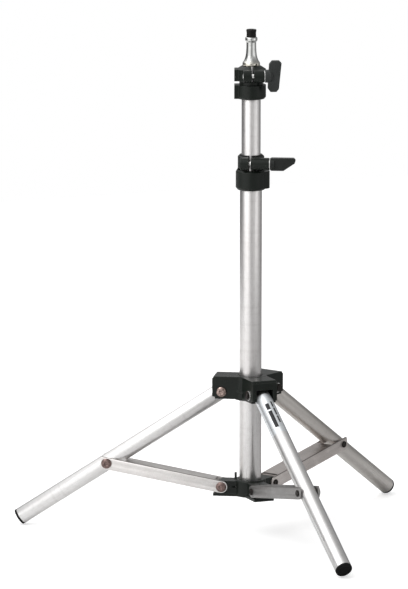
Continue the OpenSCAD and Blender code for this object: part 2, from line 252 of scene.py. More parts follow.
def powder_coat(name):
    """Black coat with orange-peel bump and flecks, rubbed brighter on convex edges."""
    s = Material(name)
    peel = s.noise(620, detail=3, rough=0.55)
    grit = s.noise(2400, detail=2, rough=0.6)
    cloud = s.noise(40, detail=4, rough=0.6)
    colour = s.tint((0.0050, 0.0074, 0.0056), cloud, span=(0.3, 0.7),
                    over=(0.0088, 0.0120, 0.0094))
    edge = s.remap(s.add("NewGeometry").outputs["Pointiness"], span=(0.515, 0.56))
    edge = s.math("MULTIPLY", edge, s.remap(peel, span=(0.40, 0.62), to=(0.1, 0.8)))
    colour = s.mix(edge, colour, (0.052, 0.058, 0.053))
    colour = s.tint(colour, grit, span=(0.68, 0.78), over=(0.06, 0.064, 0.06), amount=0.5)
    return s.finish(
        colour,
        roughness=s.math("SUBTRACT", s.remap(cloud, span=(0.3, 0.7), to=(0.25, 0.36)),
                         s.math("MULTIPLY", edge, 0.08)),
        height=s.math("ADD", peel, s.math("MULTIPLY", grit, 0.4)),
        strength=0.30, distance=0.00012, specular=0.26)


def plastic(name, base, cloudy, rough, grain=1800, strength=0.22, specular=0.3):
    """Moulded plastic: soft clouding and a fine grain of lighter flecks."""
    s = Material(name)
    fleck = s.noise(grain, detail=2, rough=0.6)
    cloud = s.noise(60, detail=4, rough=0.6)
    colour = s.tint(base, cloud, span=(0.3, 0.7), over=cloudy)
    light = tuple(2.0 * channel for channel in cloudy)
    colour = s.tint(colour, fleck, span=(0.60, 0.80), over=light, amount=0.5)
    return s.finish(colour, roughness=s.remap(cloud, span=(0.3, 0.7), to=rough), height=fleck,
                    strength=strength, distance=0.0001, specular=specular)


def steel(name, base, mottled, rough, scale, metallic=1.0):
    """Mottled metal; scale sets how fine the mottling is."""
    s = Material(name)
    mottle = s.noise(scale, detail=4, rough=0.65, warp=0.3)
    fine = s.noise(2200, detail=2, rough=0.6)
    return s.finish(
        s.tint(base, mottle, span=(0.35, 0.65), over=mottled),
        roughness=s.remap(mottle, span=(0.3, 0.7), to=rough),
        height=s.math("ADD", fine, mottle),
        strength=0.12, distance=0.00008, metallic=metallic)


def bright_plate(name):
    """Plated metal with faint turning rings."""
    s = Material(name)
    turning = s.noise((30, 30, 1700), detail=2, rough=0.6)
    haze = s.noise((120, 120, 200), detail=4, rough=0.6)
    position = s.add("SeparateXYZ")
    s.feed(position.inputs[0], s.add("NewGeometry").outputs["Position"])
    colour = s.tint((0.70, 0.71, 0.70), haze, span=(0.35, 0.7), over=(0.56, 0.565, 0.55))
    # a brassy tint grows downwards at the foot of the flare; span is world height in metres
    colour = s.tint(colour, position.outputs[2], span=(0.6300, 0.6225),
                    over=(0.80, 0.70, 0.50), amount=0.40)
    return s.finish(colour, roughness=s.remap(haze, span=(0.3, 0.7), to=(0.07, 0.16)),
                    height=turning, strength=0.05, distance=0.00004, metallic=1.0)


MATERIAL = {
    "column": drawn_aluminium("satin_aluminium_column", base=(0.86, 0.845, 0.838),
                              warm=(0.80, 0.775, 0.762), rub=0.25),
    "riser": drawn_aluminium("satin_aluminium_riser", base=(0.87, 0.858, 0.852),
                             warm=(0.81, 0.79, 0.78), rough=(0.27, 0.39), rub=0.2),
}
# key, name, then the base, cloudy, grainy and scratched colours
for key, name, *colours in (
        ("brace", "brace_aluminium_sheet",
         (0.66, 0.645, 0.63), (0.53, 0.50, 0.485), (0.40, 0.38, 0.36), (0.86, 0.85, 0.84)),
        # The left, right and front variants are one sheet under different light: the left's pale
        # colours are painted light, the right's warm greys and the front's dark greys are
        # painted shade.
        ("brace_left", "brace_aluminium_left",
         (0.86, 0.835, 0.82), (0.76, 0.73, 0.71), (0.56, 0.53, 0.51), (0.94, 0.93, 0.92)),
        ("brace_right", "brace_aluminium_right",
         (0.79, 0.735, 0.71), (0.64, 0.59, 0.565), (0.45, 0.415, 0.39), (0.92, 0.88, 0.86)),
        ("brace_front", "brace_aluminium_front",
         (0.42, 0.415, 0.41), (0.34, 0.33, 0.325), (0.22, 0.215, 0.21), (0.66, 0.65, 0.64))):
    MATERIAL[key] = folded_sheet(name, *colours)
MATERIAL["casting"] = powder_coat("black_powder_coat")
MATERIAL["black"] = plastic("black_moulded_plastic", base=(0.008, 0.008, 0.008),
                            cloudy=(0.015, 0.015, 0.015), rough=(0.36, 0.5))
MATERIAL["foot"] = plastic("black_foot_plastic", base=(0.006, 0.006, 0.006),
                           cloudy=(0.012, 0.012, 0.012), rough=(0.5, 0.62), specular=0.1)
MATERIAL["cap"] = plastic("cap_soft_plastic", base=(0.0050, 0.0045, 0.0045),
                          cloudy=(0.0085, 0.008, 0.0075), rough=(0.30, 0.42), specular=0.16)
MATERIAL["grey"] = plastic("knob_grey_plastic", base=(0.024, 0.0265, 0.026),
                           cloudy=(0.036, 0.039, 0.038), rough=(0.30, 0.42),
                           grain=1500, strength=0.3)
MATERIAL["lever"] = plastic("lever_black_plastic", base=(0.0060, 0.0075, 0.0065),
                            cloudy=(0.0105, 0.0125, 0.011), rough=(0.28, 0.40),
                            grain=1500, strength=0.3)
MATERIAL["rivet"] = steel("rivet_nickel_brown", base=(0.30, 0.215, 0.195),
                          mottled=(0.13, 0.092, 0.085), rough=(0.20, 0.36), scale=330)
MATERIAL["bolt"] = steel("pivot_bolt_bronzed", base=(0.52, 0.40, 0.36),
                         mottled=(0.12, 0.085, 0.075), rough=(0.12, 0.30), scale=520)
# Dark oxide on the nuts and shanks; the same colour on the front and right rivets is painted
# shade.
MATERIAL["dark_oxide_and_shade"] = steel("rivet_dark_oxide_and_painted_shade", base=(0.05, 0.045, 0.042),
                               mottled=(0.025, 0.022, 0.02), rough=(0.25, 0.4), scale=300)
MATERIAL["zinc"] = steel("zinc_plated_steel", base=(0.90, 0.90, 0.89),
                         mottled=(0.78, 0.78, 0.76), rough=(0.18, 0.30), scale=500)
MATERIAL["plate"] = bright_plate("spigot_bright_plate")
MATERIAL["ink"] = plastic("label_black_ink", base=(0.012, 0.012, 0.014),
                          cloudy=(0.022, 0.022, 0.024), rough=(0.30, 0.45),
                          grain=900, strength=0.15)
MATERIAL["film"] = steel("label_silvered_film", base=(0.84, 0.865, 0.885),
                         mottled=(0.78, 0.81, 0.84), rough=(0.26, 0.34), scale=160,
                         metallic=0.80)


# ------------------------------------------------------------------ mesh helpers
@contextmanager
def editing(mesh):
    """Opens a mesh as a bmesh and writes it back."""
    bm = bmesh.new()
    bm.from_mesh(mesh)
    yield bm
    bm.to_mesh(mesh)
    bm.free()


def mesh_from(bm, name):
    mesh = bpy.data.meshes.new(name)
    bm.to_mesh(mesh)
    bm.free()
    return mesh


def add_object(data, name):
    obj = bpy.data.objects.new(name, data)
    bpy.context.scene.collection.objects.link(obj)
    return obj


def discard(obj):
    mesh = obj.data
    bpy.data.objects.remove(obj)
    bpy.data.meshes.remove(mesh)


def smooth_faces(mesh):
    for face in mesh.polygons:
        face.use_smooth = True


def smooth_by_angle(obj, degrees):
    """Shades smooth, leaving edges that turn by degrees or more sharp."""
    smooth_faces(obj.data)
    with editing(obj.data) as bm:
        for edge in bm.edges:
            if len(edge.link_faces) == 2:
                edge.smooth = edge.calc_face_angle(0.0) < math.radians(degrees)


def dress(obj, material, body):
    """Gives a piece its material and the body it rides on."""
    obj.data.materials.clear()
    obj.data.materials.append(material)
    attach(obj, body)


def stand_in(obj, node, material, body=None):
    """Dresses a piece as the replacement of a CAD node."""
    dress(obj, material, body or BODY[node])
    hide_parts(node)


def apply_modifiers(obj):
    graph = bpy.context.evaluated_depsgraph_get()
    mesh = bpy.data.meshes.new_from_object(obj.evaluated_get(graph))
    obj.modifiers.clear()
    old = obj.data
    obj.data = mesh
    bpy.data.meshes.remove(old)


def round_edges(obj, width, segments, angle, miter="MITER_SHARP"):
    """Bevels the edges that turn by more than angle degrees."""
    bevel = obj.modifiers.new("b", "BEVEL")
    bevel.width = width * MM
    bevel.segments = segments
    bevel.limit_method = "ANGLE"
    bevel.angle_limit = math.radians(angle)
    bevel.use_clamp_overlap = True
    bevel.miter_outer = miter
    apply_modifiers(obj)


def copy_node(node):
    """Copies a CAD solid with its doubled points welded and its stored normals dropped."""
    mesh = NODES[node].data.copy()
    mesh.materials.clear()
    obj = add_object(mesh, node + "_skin")
    with editing(mesh) as bm:
        bmesh.ops.remove_doubles(bm, verts=bm.verts, dist=2e-6)
    normals = mesh.attributes.get("custom_normal")
    if normals:
        mesh.attributes.remove(normals)
    return obj


def cast_copy(node, voxel, passes, material):
    """A CAD solid re-skinned finely and relaxed, so every edge carries a cast radius."""
    obj = copy_node(node)
    remesh = obj.modifiers.new("r", "REMESH")
    remesh.mode = "VOXEL"
    remesh.voxel_size = voxel * MM * 1.0
    remesh.adaptivity = 0.0
    relax = obj.modifiers.new("s", "SMOOTH")
    relax.factor = 0.5
    relax.iterations = passes
    apply_modifiers(obj)
    smooth_faces(obj.data)
    stand_in(obj, node, material)


def bevel_copy(node, width, segments, material):
    """A CAD solid with its flat faces merged and its hard edges rounded."""
    obj = copy_node(node)
    with editing(obj.data) as bm:
        bmesh.ops.dissolve_limit(bm, angle_limit=math.radians(1.5), verts=bm.verts,
                                 edges=bm.edges)
    round_edges(obj, width, segments, angle=34, miter="MITER_ARC")
    smooth_by_angle(obj, 40)
    stand_in(obj, node, material)


def raised(outline, height):
    """Shifts an outline of (radius, z) or (radius, z, corner) points along z."""
    return [(r, height + z, *corner) for r, z, *corner in outline]


def spline(points, steps):
    """Catmull-Rom curve through (radius, z) points; a third value marks a sharp corner."""
    curve = []
    for i in range(len(points) - 1):
        start, end = points[i], points[i + 1]
        before = points[i - 1] if i > 0 and len(start) == 2 else start
        after = points[i + 2] if i + 2 < len(points) and len(end) == 2 else end
        for k in range(steps):
            t = k / steps
            curve.append(tuple(
                0.5 * (2 * p1 + (p2 - p0) * t + (2 * p0 - 5 * p1 + 4 * p2 - p3) * t * t
                       + (3 * p1 - p0 - 3 * p2 + p3) * t ** 3)
                for p0, p1, p2, p3 in zip(before[:2], start[:2], end[:2], after[:2])))
    curve.append(tuple(points[-1][:2]))
    return curve


def bridge(bm, lower, upper):
    """Faces between two rings of points; a ring of one point closes as a fan."""
    count = max(len(lower), len(upper))
    for k in range(count):
        k2 = (k + 1) % count
        if len(lower) == 1:
            bm.faces.new((lower[0], upper[k2], upper[k]))
        elif len(upper) == 1:
            bm.faces.new((lower[k], lower[k2], upper[0]))
        else:
            bm.faces.new((lower[k], lower[k2], upper[k2], upper[k]))


def lathe(name, outline, segments, placing=None, closed=False):
    """Turns (radius, z) points about Z; closed joins the last point to the first."""
    bm = bmesh.new()
    rings = []
    for r, z in outline:
        if r < 1e-6:
            rings.append([bm.verts.new((0, 0, z * MM))])
            continue
        angles = [2 * math.pi * k / segments for k in range(segments)]
        rings.append([bm.verts.new((r * MM * math.cos(t), r * MM * math.sin(t), z * MM))
                      for t in angles])
    for lower, upper in zip(rings, rings[1:] + rings[:1] if closed else rings[1:]):
        bridge(bm, lower, upper)
    bmesh.ops.recalc_face_normals(bm, faces=bm.faces)
    if placing is not None:
        bm.transform(placing)
    obj = add_object(mesh_from(bm, name), name)
    smooth_by_angle(obj, 34)
    return obj


def join_into(name, parts):
    bm = bmesh.new()
    for part in parts:
        bm.from_mesh(part.data)
    mesh = mesh_from(bm, name)
    for part in parts:
        discard(part)
    obj = add_object(mesh, name)
    smooth_by_angle(obj, 34)
    return obj


def tube_outline(outer, inner, z0, z1, edge):
    """Wall section of a tube whose end edges are rounded by edge."""
    slight = edge * 0.3
    return [(inner, z0 + edge), (inner + slight, z0 + slight), (inner + edge, z0),
            (outer - edge, z0), (outer - slight, z0 + slight), (outer, z0 + edge),
            (outer, z1 - edge), (outer - slight, z1 - slight), (outer - edge, z1),
            (inner + edge, z1), (inner + slight, z1 - slight), (inner, z1 - edge)]


def node_points(node):
    """The CAD node's points in metres, one row each."""
    mesh = NODES[node].data
    flat = np.empty(len(mesh.vertices) * 3)
    mesh.vertices.foreach_get("co", flat)
    return flat.reshape(-1, 3)


def height_range(node):
    low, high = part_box(node)
    return low[2] / MM, high[2] / MM


def placing_on(origin, z_axis, x_hint):
    """Matrix that puts local Z on z_axis and local X as near x_hint as it can be."""
    z = Vector(z_axis).normalized()
    x = Vector(x_hint)
    x = (x - z * x.dot(z)).normalized()
    matrix = Matrix((x, z.cross(x), z)).transposed().to_4x4()
    matrix.translation = Vector(origin)
    return matrix


# ------------------------------------------------------------------ column
def column_tube(node, material):
    low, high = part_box(node)
    outer = (high[0] - low[0]) / 2 / MM
    outline = tube_outline(outer, outer - COLUMN_WALL, *height_range(node), edge=0.35)
    stand_in(lathe(node + "_skin", outline, 128, closed=True), node, material)


SPIGOT_RADIUS = 8.68       # the length below the flare
SPIGOT_TOP = 41.9          # top of the spigot above the foot of the flare
# (radius, height above the foot of the flare, 1 at a corner): rim, waist, ring, end pin
SPIGOT_OUTLINE = [
    (SPIGOT_RADIUS, 0, 1), (10.1, 0, 1), (10.1, -3.75, 1), (11.0, -3.75, 1), (11.35, -3.3),
    (11.52, -2.2), (11.5, -0.9), (11.25, 0.3), (10.75, 1.25), (10.0, 2.3), (9.1, 4.0),
    (8.2, 6.3), (7.45, 9.2), (6.95, 12.2), (6.6, 16.5), (6.38, 21.5), (6.35, 27.6, 1),
    (6.75, 28.2), (7.5, 28.75), (7.9, 29.5), (8.0, 30.3), (8.0, 32.2), (7.9, 33.0),
    (7.4, 33.75), (6.8, 34.0, 1), (4.7, 34.0, 1), (4.7, 41.2, 1), (4.2, SPIGOT_TOP, 1),
    (0.0, SPIGOT_TOP)]

CAP_BORE = 4.76
# (radius, height above the bottom of the cap, 1 at a corner)
CAP_OUTLINE = [
    (CAP_BORE, 0.02, 1), (6.1, 0.02, 1), (6.3, 0.25), (6.28, 2.0), (6.2, 4.4), (6.32, 6.4),
    (6.58, 7.4), (6.68, 8.2), (6.62, 9.2), (6.25, 9.85), (5.6, 10.05), (3.6, 10.08),
    (2.7, 9.95), (2.1, 9.45), (0.0, 9.3, 1)]
CAP_BORE_OUTLINE = [(CAP_BORE, 0.02), (CAP_BORE, 8.0), (0.0, 8.0)]


def spigot():
    bottom, top = height_range("spigot")
    outline = [(SPIGOT_RADIUS, bottom, 1)] + raised(SPIGOT_OUTLINE, top - SPIGOT_TOP)
    obj = lathe("spigot_skin", [(0.0, bottom)] + spline(outline, 5), 128)
    stand_in(obj, "spigot", MATERIAL["plate"])


def spigot_cap():
    """The cap's outside and its bore, welded into one shell."""
    bottom, _ = height_range("spigot_cap")
    outside = lathe("spigot_cap_skin", spline(raised(CAP_OUTLINE, bottom), 5), 96)
    bore = lathe("cap_bore", raised(CAP_BORE_OUTLINE, bottom), 96)
    obj = join_into("spigot_cap_skin", [outside, bore])
    with editing(obj.data) as bm:
        bmesh.ops.remove_doubles(bm, verts=bm.verts, dist=1e-6)
        bmesh.ops.recalc_face_normals(bm, faces=bm.faces)
    smooth_by_angle(obj, 34)
    stand_in(obj, "spigot_cap", MATERIAL["cap"])


column_tube("base_tube", MATERIAL["column"])
column_tube("mid_tube", MATERIAL["riser"])
column_tube("top_tube", MATERIAL["riser"])
spigot()
spigot_cap()

# ------------------------------------------------------------------ castings and small parts
# node, voxel size, smoothing passes, material
for node, voxel, passes, key in (
        ("top_collar", 0.40, 4, "casting"),
        ("base_collar", 0.40, 4, "casting"),
        ("leg_spider", 0.50, 4, "casting"),
        ("lower_spider", 0.45, 3, "casting"),
        ("top_wing_knob", 0.35, 6, "grey"),
        ("base_lever_knob", 0.35, 4, "lever")):
    cast_copy(node, voxel, passes, MATERIAL[key])

# bevel width, bevel segments, material, nodes
for width, segments, key, nodes in (
        (0.25, 3, "zinc", ("top_knob_washer", "base_knob_washer")),
        (0.35, 3, "zinc", ("top_clamp_nut", "base_clamp_nut")),
        (0.3, 2, "zinc", ("top_knob_stud", "base_knob_stud", "spider_roll_pin", "spigot_pin")),
        (0.25, 2, "black", ("base_liner", "top_liner", "mid_guide_bush", "top_guide_bush",
                            "spider_bush", "base_plug"))):
    for node in nodes:
        bevel_copy(node, width, segments, MATERIAL[key])

# ------------------------------------------------------------------ legs
# Hinge point, then unit vectors: down the leg, away from the column, and along the hinge pin
Leg = namedtuple("Leg", "pivot down outward across")

# base and warm colours of each leg tube; the right leg's darker, warmer pair is painted shade
LEG_TONES_AND_SHADE = {
    "front": ((0.88, 0.875, 0.87), (0.83, 0.82, 0.81)),
    "left": ((0.87, 0.862, 0.855), (0.81, 0.795, 0.785)),
    "right": ((0.83, 0.795, 0.755), (0.72, 0.68, 0.64))}

# Dished plug with a sleeve inside the tube:
# (radius, height above the plug's lowest point, 1 at a corner)
FOOT_OUTLINE = [
    (0.0, 0.9), (6.2, 0.85), (7.2, 0.5), (8.2, 0.12), (9.8, 0.03), (10.6, 0.2), (10.9, 0.55),
    (10.98, 1.1), (10.98, 3.12, 1), (9.76, 3.12, 1), (9.76, 22.0, 1), (8.9, 22.4, 1),
    (8.6, 22.4, 1), (8.6, 4.2, 1), (0.0, 4.0, 1)]


def find_leg(side):
    """The leg's hinge and directions; its slope is the long axis of the CAD tube."""
    azimuth = math.radians(AZIMUTH[side])
    outward = Vector((math.cos(azimuth), math.sin(azimuth), 0))
    across = Vector((-outward.y, outward.x, 0))
    points = node_points("leg_%s_tube" % side)
    _, _, axes = np.linalg.svd(points - points.mean(0), full_matrices=False)
    down = Vector(axes[0])
    if down.z > 0:
        down = -down
    down = (down - across * down.dot(across)).normalized()
    return Leg(Vector(JOINT["leg_%s_hinge" % side]["pos_m"]), down, outward, across)


def leg_parts(side, leg):
    """Tube, foot plug and insert, turned with local Z running up the leg from the hinge."""
    placing = placing_on(leg.pivot, -leg.down, leg.across)
    body = "leg_" + side

    def distances(node):
        """How far down the leg each of the node's points lies."""
        return (node_points(node) - np.array(leg.pivot)) @ np.array(leg.down) / MM

    tube = body + "_tube"
    span = distances(tube)
    base, warm = LEG_TONES_AND_SHADE[side]
    metal = drawn_aluminium("satin_aluminium_" + body, base, warm,
                            turn=placing.to_3x3().inverted().to_euler())
    outline = tube_outline(LEG_RADIUS, LEG_RADIUS - LEG_WALL, -span.max(), -span.min(), edge=0.4)
    obj = lathe(tube + "_skin", outline, 96, placing, closed=True)
    stand_in(obj, tube, metal, body)

    foot = body + "_foot"
    outline = spline(raised(FOOT_OUTLINE, -float(distances(foot).max())), 4)
    stand_in(lathe(foot + "_skin", outline, 96, placing), foot, MATERIAL["foot"], body)
    bevel_copy(body + "_insert", 0.4, 2, MATERIAL["black"])


LEGS = {}
for side in AZIMUTH:
    LEGS[side] = find_leg(side)
    leg_parts(side, LEGS[side])

# ------------------------------------------------------------------ braces
OUTER_BEND = 1.7
INNER_BEND = 0.6
BRACE_HOLE = 3.05          # radius of the pin holes
HOLE_SIDES = 40
WEB_CUT = 3.0              # the end openings are cut between the walls from this z upwards
BEYOND = 20                # reach of the cutters past the channel
# painted shade on the upper face of each brace; the bends have 1 and the walls 0
WEB_SHADE = {"left": 0.32, "right": 0.68, "front": 0.38}


def prism(name, outline, axis, start, end):
    """A closed prism: outline is (x, z) for axis "y", or (y, z) for axis "x"."""
    bm = bmesh.new()
    near, far = [[bm.verts.new((p * MM, t * MM, z * MM) if axis == "y"
                               else (t * MM, p * MM, z * MM)) for p, z in outline]
                 for t in (start, end)]
    bm.faces.new(near)
    bm.faces.new(far[::-1])
    count = len(outline)
    for k in range(count):
        k2 = (k + 1) % count
        bm.faces.new((near[k], far[k], far[k2], near[k2]))
    bmesh.ops.recalc_face_normals(bm, faces=bm.faces)
    return add_object(mesh_from(bm, name), name)


def arc(x, z, radius, start, end, steps):
    angles = [math.radians(start + (end - start) * k / steps) for k in range(steps + 1)]
    return [(x + radius * math.cos(t), z + radius * math.sin(t)) for t in angles]


def cut(obj, outline, axis, start, end, operation="DIFFERENCE"):
    """Combines the object with a prism, which is then thrown away."""
    cutter = prism("cutter", outline, axis, start, end)
    boolean = obj.modifiers.new("c", "BOOLEAN")
    boolean.operation = operation
    boolean.solver = "EXACT"
    boolean.object = cutter
    apply_modifiers(obj)
    discard(cutter)


def leg_pin(side):
    """Where the brace is pinned to its leg, taken from the CAD rivets."""
    outward = LEGS[side].outward
    points = node_points("brace_%s_rivets" % side)
    reach = points @ np.array(outward)
    heights = points[:, 2]
    return (outward * float((reach.min() + reach.max()) / 2)
            + Vector((0, 0, float((heights.min() + heights.max()) / 2))))


def section(half_width, top, bend, floor, steps):
    """Channel section in (y, z): straight sides from floor and two rounded top corners."""
    return ([(-half_width, floor), (half_width, floor)]
            + arc(half_width - bend, top - bend, bend, 0, 90, steps)
            + arc(-half_width + bend, top - bend, bend, 90, 180, steps))


def mark_fold_shade(mesh, web_shade):
    """Stores painted shade for the bends and the upper face, read by the material."""
    fold_shade = mesh.attributes.new("fold_shade", "FLOAT", "POINT")
    bend_y = BRACE_HALF_WIDTH - OUTER_BEND
    bend_z = BRACE_HALF_HEIGHT - OUTER_BEND
    for i, vertex in enumerate(mesh.vertices):
        y, z = abs(vertex.co.y) / MM, vertex.co.z / MM
        in_bend = (y > bend_y and z > bend_z
                   and 38 < math.degrees(math.atan2(z - bend_z, y - bend_y)) < 82)
        on_web = z > BRACE_HALF_HEIGHT - 0.4 and y < BRACE_HALF_WIDTH - 1.5
        fold_shade.data[i].value = 1.0 if in_bend else web_shade if on_web else 0.0


def brace_channel(side):
    """A folded U strip, open below, with a round end at the column and a square top at the leg.

    It is built with x running from the column hinge to the leg pin, then set in place.
    """
    node = "brace_" + side
    leg = LEGS[side]
    hinge = Vector(JOINT[node + "_hinge"]["pos_m"])
    hinge = leg.outward * hinge.dot(leg.outward) + UP * hinge.z
    pin = leg_pin(side)
    length = (pin - hinge).length / MM
    half = BRACE_HALF_HEIGHT

    outer = section(BRACE_HALF_WIDTH, half, OUTER_BEND, -half, 6)
    inner = section(BRACE_INNER, half - BRACE_WALL, INNER_BEND, -BEYOND, 4)
    obj = prism(node + "_skin", outer, "x", -10, length + 10)
    cut(obj, inner, "x", -30, length + 30)
    silhouette = (arc(0, 0, half, 90, 270, 20)
                  + arc(length + 2.6, -half + 5.4, 5.4, -90, 0, 8)
                  + arc(length + 7.0, half - 1.0, 1.0, 0, 90, 4))
    cut(obj, silhouette, "y", -BEYOND, BEYOND, "INTERSECT")
    column_opening = [(-BEYOND, WEB_CUT), (8.2, WEB_CUT), (10.0, 4.8), (10.0, BEYOND),
                      (-BEYOND, BEYOND)]
    leg_opening = [(length - 25.2, BEYOND), (length - 25.2, 4.8), (length - 23.4, WEB_CUT),
                   (length + BEYOND, WEB_CUT), (length + BEYOND, BEYOND)]
    for opening in (column_opening, leg_opening):
        cut(obj, opening, "y", -BRACE_INNER, BRACE_INNER)
    for x in (0.0, length):
        hole = arc(x, 0, BRACE_HOLE, 0, 360 - 360 / HOLE_SIDES, HOLE_SIDES - 1)
        cut(obj, hole, "y", -BEYOND, BEYOND)
    round_edges(obj, width=0.32, segments=2, angle=40)
    mark_fold_shade(obj.data, WEB_SHADE[side])

    along = (pin - hinge).normalized()
    above = along.cross(leg.across)
    if above.z < 0:
        above = -above
    placing = Matrix((along, leg.across, above)).transposed().to_4x4()
    placing.translation = hinge
    obj.data.transform(placing)
    smooth_by_angle(obj, 40)
    stand_in(obj, node, MATERIAL[node])


for side in AZIMUTH:
    brace_channel(side)

# ------------------------------------------------------------------ pivot bolts and rivets
HEAD_RADIUS = 6.9
SHANK_RADIUS = 3.0
HALF_SHANK_RADIUS = 2.97   # stubs at the leg pins
NUT_BORE = 3.12            # radius
NUT_FLATS = 10.0           # across the flats
# Washer wall, seen from the leg's negative face: (radius, z)
WASHER_OUTLINE = [(NUT_BORE, -1.2), (6.25, -1.22), (6.48, -1.05), (6.5, -0.2), (6.35, -0.06),
                  (NUT_BORE, -0.06)]
# Dimpled rivet tail: (radius, z from its rim, 1 at a corner)
TAIL_OUTLINE = [(0.0, -0.7), (1.4, -0.75), (2.0, -1.0), (2.7, -1.25), (3.7, -1.2),
                (4.35, -0.7), (4.45, 0, 1)]


def rod(radius, z0, z1, placing):
    """A shank with its ends chamfered by 0.3."""
    outline = [(0.0, z0), (radius - 0.3, z0), (radius, z0 + 0.3), (radius, z1 - 0.3),
               (radius - 0.3, z1), (0.0, z1)]
    return lathe("part", outline, 48, placing)


def head(height, seat, placing):
    """A domed head with a dished middle, standing on z = seat."""
    r = HEAD_RADIUS
    outline = [(0.0, height - 0.45), (1.6, height - 0.5), (2.3, height - 0.35),
               (2.9, height - 0.02), (3.8, height), (r * 0.68, height - 0.22),
               (r * 0.86, height - 0.75), (r * 0.97, height - 1.5), (r, 0.35),
               (r - 0.15, 0.05, 1), (0.0, 0.05, 1)]
    return lathe("part", spline(raised(outline, seat), 4), 72, placing)


def tail(rim, seat, placing):
    """A rivet tail whose rim is at z = rim and whose hidden face is at z = seat."""
    outline = raised(TAIL_OUTLINE, rim) + [(0.0, seat, 1)]
    return lathe("part", spline(outline, 4), 56, placing)


def hex_nut(z0, z1, placing):
    """A hexagon nut with its corners taken off by a cone at both faces."""
    segments = 72
    apothem = NUT_FLATS / 2
    corner = apothem / math.cos(math.radians(30))
    bm = bmesh.new()
    rings = []
    # height and the cone's radius there; None is the bore
    for z, cone in ((z0, None), (z0, apothem * 0.97), (z0 + 0.55, corner),
                    (z1 - 0.55, corner), (z1, apothem * 0.97), (z1, None)):
        ring = []
        for k in range(segments):
            t = 2 * math.pi * k / segments
            from_flat = (t % (math.pi / 3)) - math.pi / 6
            r = min(apothem / math.cos(from_flat), cone) if cone else NUT_BORE
            ring.append(bm.verts.new((r * MM * math.cos(t), r * MM * math.sin(t), z * MM)))
        rings.append(ring)
    for lower, upper in zip(rings, rings[1:] + rings[:1]):
        bridge(bm, lower, upper)
    bmesh.ops.recalc_face_normals(bm, faces=bm.faces)
    bm.transform(placing)
    return add_object(mesh_from(bm, "part"), "part")


def leg_pin_rivets(side):
    """Two half rivets in the walls of the brace, at its leg pin."""
    placing = placing_on(leg_pin(side), LEGS[side].across, UP)
    outer = BRACE_HALF_WIDTH
    parts = [rod(HALF_SHANK_RADIUS, BRACE_INNER, outer + 0.3, placing),
             head(2.55, outer + 0.05, placing),
             rod(HALF_SHANK_RADIUS, -outer - 0.3, -BRACE_INNER, placing),
             tail(-outer - 0.3, -outer - 0.06, placing)]
    node = "brace_%s_rivets" % side
    # the front and right rivets are darkened as painted shade
    material = MATERIAL["rivet" if side == "left" else "dark_oxide_and_shade"]
    stand_in(join_into(node + "_skin", parts), node, material)


bolts, shanks, washers, nuts, left_rivets, other_rivets = [], [], [], [], [], []
for side, leg in LEGS.items():
    placing = placing_on(leg.pivot, leg.across, UP)
    face = LEG_HALF_WIDTH
    shanks.append(rod(SHANK_RADIUS, -face - 4.35, face + 0.6, placing))
    bolts.append(head(3.05, face + 0.05, placing))
    washers.append(lathe("part", raised(WASHER_OUTLINE, -face), 72, placing, closed=True))
    nuts.append(hex_nut(-face - 4.18, -face - 1.24, placing))

    placing = placing_on(Vector(JOINT["brace_%s_hinge" % side]["pos_m"]), leg.across, UP)
    face = BRACE_HALF_WIDTH
    # the front and right brace rivets are darkened as painted shade
    rivets = left_rivets if side == "left" else other_rivets
    rivets.append(rod(SHANK_RADIUS, -face - 0.5, face + 0.5, placing))
    rivets.append(head(2.3, face + 0.42, placing))
    rivets.append(tail(-face - 0.5, -face - 0.45, placing))
    leg_pin_rivets(side)

for name, parts, node, key in (
        ("leg_pivot_bolts_skin", bolts, "leg_pivot_bolts", "bolt"),
        ("leg_pivot_shanks_skin", shanks, "leg_pivot_bolts", "dark_oxide_and_shade"),
        ("brace_pivot_rivets_skin", left_rivets, "brace_pivot_rivets", "rivet"),
        ("brace_pivot_rivet_front_skin", other_rivets, "brace_pivot_rivets", "dark_oxide_and_shade"),
        ("leg_pivot_washers_skin", washers, "leg_pivot_nuts", "zinc"),
        ("leg_pivot_nuts_skin", nuts, "leg_pivot_nuts", "dark_oxide_and_shade")):
    stand_in(join_into(name, parts), node, MATERIAL[key])

# ------------------------------------------------------------------ film and printed bars
# Distances below the hinge, then angles in degrees round the tube from its upper side
FILM_PATCH = (9.0, 80.0, -178, 178)
BAR_PATCHES = [(27.0, 38.0, -37, -10), (40.5, 71.0, -37, -10),
               (24.0, 34.0, 7, 19), (36.0, 49.0, 7, 19), (51.0, 63.0, 7, 19)]


